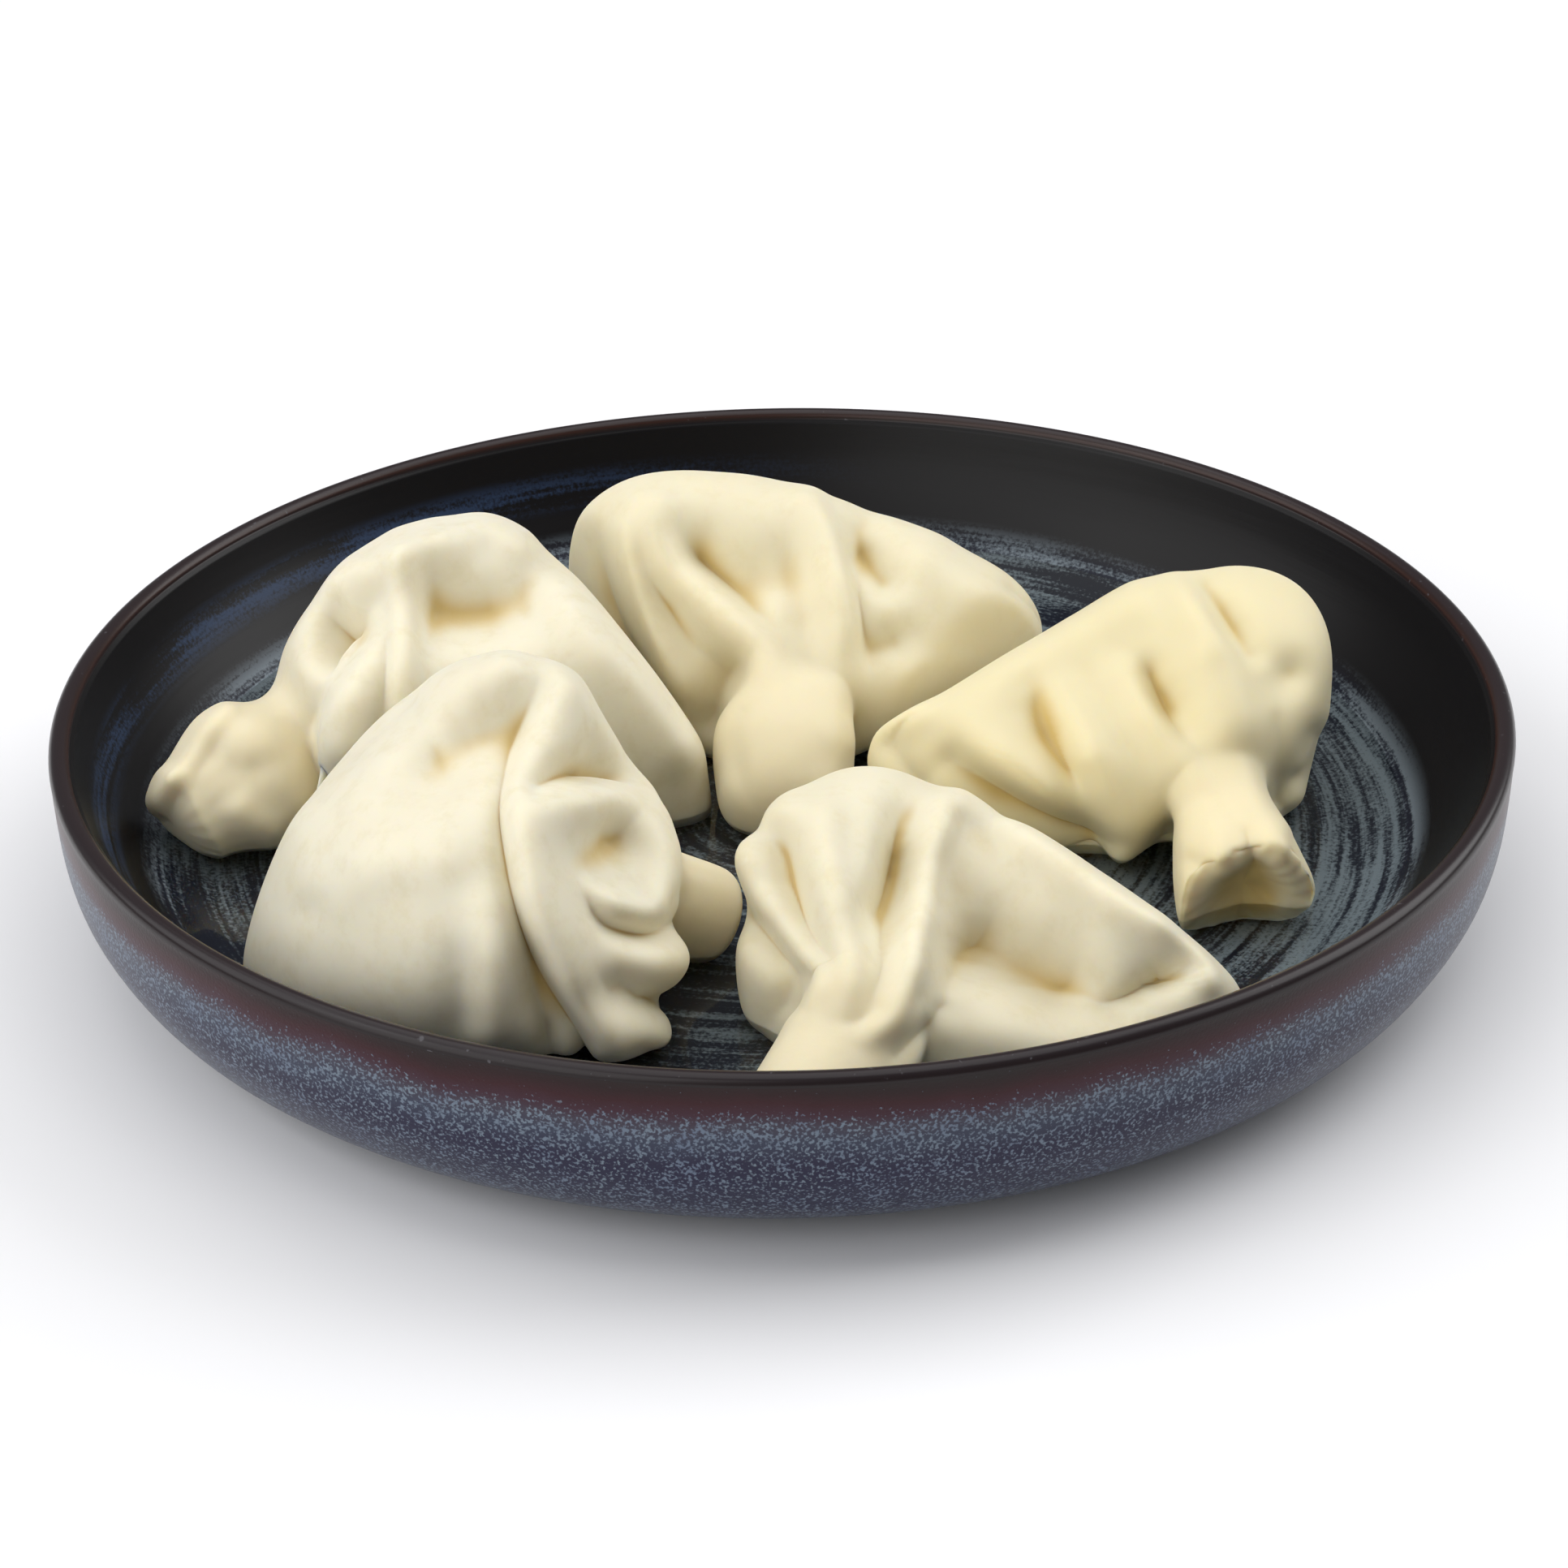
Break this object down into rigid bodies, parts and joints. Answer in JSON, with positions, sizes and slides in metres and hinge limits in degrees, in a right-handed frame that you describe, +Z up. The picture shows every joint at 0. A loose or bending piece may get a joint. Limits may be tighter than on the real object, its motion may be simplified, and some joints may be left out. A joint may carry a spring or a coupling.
{
  "type": "bowl of khinkali",
  "caption": "Pleated boiled dumplings with pinched stems lying on their sides in a low round stoneware bowl with a dark reactive glaze.",
  "frame": {"origin": "on the table under the middle of the bowl's foot ring", "axes": "+Z up, -Y towards the front of the bowl, +X to the right as seen from the front"},
  "size_m": [0.25, 0.25, 0.064],
  "materials": {
    "glazed_stoneware": "glossy dark blue and brown reactive glaze with fine pale speckle outside",
    "boiled_dough": "smooth wet boiled wheat dough, slightly translucent, satin"
  },
  "bodies": {
    "root": {"bowl": "glazed_stoneware", "khinkali_back_left": "boiled_dough", "khinkali_back": "boiled_dough", "khinkali_right": "boiled_dough", "khinkali_front_left": "boiled_dough", "khinkali_front": "boiled_dough"}
  },
  "joints": []
}
